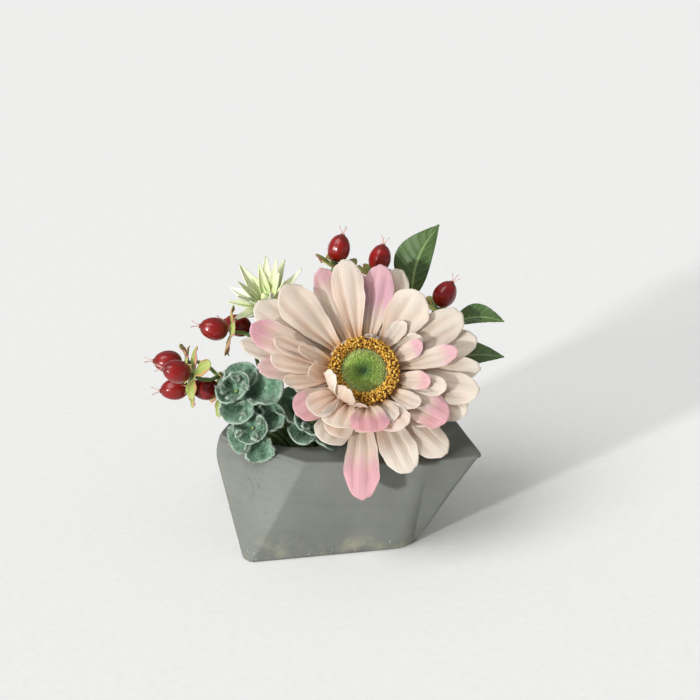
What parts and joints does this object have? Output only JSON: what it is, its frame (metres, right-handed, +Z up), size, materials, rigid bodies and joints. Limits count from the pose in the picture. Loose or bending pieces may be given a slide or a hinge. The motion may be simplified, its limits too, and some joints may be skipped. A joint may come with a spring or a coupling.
{
  "type": "faceted tabletop pot with artificial flower arrangement",
  "caption": "Faceted grey cement tabletop pot with a round cup, holding a lift-out silk arrangement of a gerbera, red berries, flocked leaves and green leaves on foam.",
  "frame": {"origin": "on the pot's flat base, below the middle of its top", "axes": "+Z up, -Y towards the front, where the flower faces, +X to the right seen from the front"},
  "size_m": [0.16, 0.0918, 0.1364],
  "materials": {
    "cement": "cast grey cement, smooth and matte, with small pinholes",
    "flower_foam": "dry flower foam, fine open cells",
    "silk_petal": "pressed polyester silk with lengthwise pleats, cream to blush, some tips pink",
    "stamen_grain": "orange-yellow grain glued to a ring",
    "green_plush": "short green plush, darker in the middle",
    "stem_plastic": "moulded green plastic over wire",
    "berry_lacquer": "glossy dark red lacquer with faint ribs",
    "sepal_fabric": "curled yellow-green fabric with tan and pink edges",
    "flocked_leaf": "sage green plastic with pale flock, whitest at the edges",
    "green_leaf": "printed green fabric leaf with a pale midrib",
    "cream_petal": "cream fabric petals with pale green bases"
  },
  "bodies": {
    "pot": {"pot": "cement"},
    "arrangement": {"berry_left_back": "berry_lacquer", "berry_left_front": "berry_lacquer", "berry_left_low": "berry_lacquer", "berry_left_top": "berry_lacquer", "berry_right": "berry_lacquer", "berry_top_left": "berry_lacquer", "berry_top_right": "berry_lacquer", "berry_upper_back": "berry_lacquer", "berry_upper_front": "berry_lacquer", "foam_plug": "flower_foam", "gerbera_calyx": "stem_plastic", "gerbera_eye": "green_plush", "gerbera_petals_back": "silk_petal", "gerbera_petals_front": "silk_petal", "gerbera_petals_inner": "silk_petal", "gerbera_petals_mid": "silk_petal", "gerbera_stamens": "stamen_grain", "gerbera_stem": "stem_plastic", "lambs_ear_low_left_1": "flocked_leaf", "lambs_ear_low_left_2": "flocked_leaf", "lambs_ear_low_middle_1": "flocked_leaf", "lambs_ear_low_middle_2": "flocked_leaf", "lambs_ear_stem_low_left": "stem_plastic", "lambs_ear_stem_low_middle": "stem_plastic", "lambs_ear_stem_upper": "stem_plastic", "lambs_ear_upper_1": "flocked_leaf", "lambs_ear_upper_2": "flocked_leaf", "leaf_low_right": "green_leaf", "leaf_right": "green_leaf", "leaf_stem_low_right": "stem_plastic", "leaf_stem_right": "stem_plastic", "leaf_stem_tall": "stem_plastic", "leaf_tall": "green_leaf", "sepals_left_back": "sepal_fabric", "sepals_left_front": "sepal_fabric", "sepals_left_low": "sepal_fabric", "sepals_left_top": "sepal_fabric", "sepals_right": "sepal_fabric", "sepals_top_left": "sepal_fabric", "sepals_top_right": "sepal_fabric", "sepals_upper_back": "sepal_fabric", "sepals_upper_front": "sepal_fabric", "spiky_core": "cream_petal", "spiky_petals_inner": "cream_petal", "spiky_petals_outer": "cream_petal", "spiky_stem": "stem_plastic", "stem_left_back": "stem_plastic", "stem_left_front": "stem_plastic", "stem_left_low": "stem_plastic", "stem_left_top": "stem_plastic", "stem_right": "stem_plastic", "stem_top_left": "stem_plastic", "stem_top_right": "stem_plastic", "stem_upper_back": "stem_plastic", "stem_upper_front": "stem_plastic"}
  },
  "joints": [
    {"name": "arrangement_lift", "type": "slide", "parent": "pot", "child": "arrangement", "axis": [0, 0, 1], "range_m": [0, 0.06]}
  ]
}
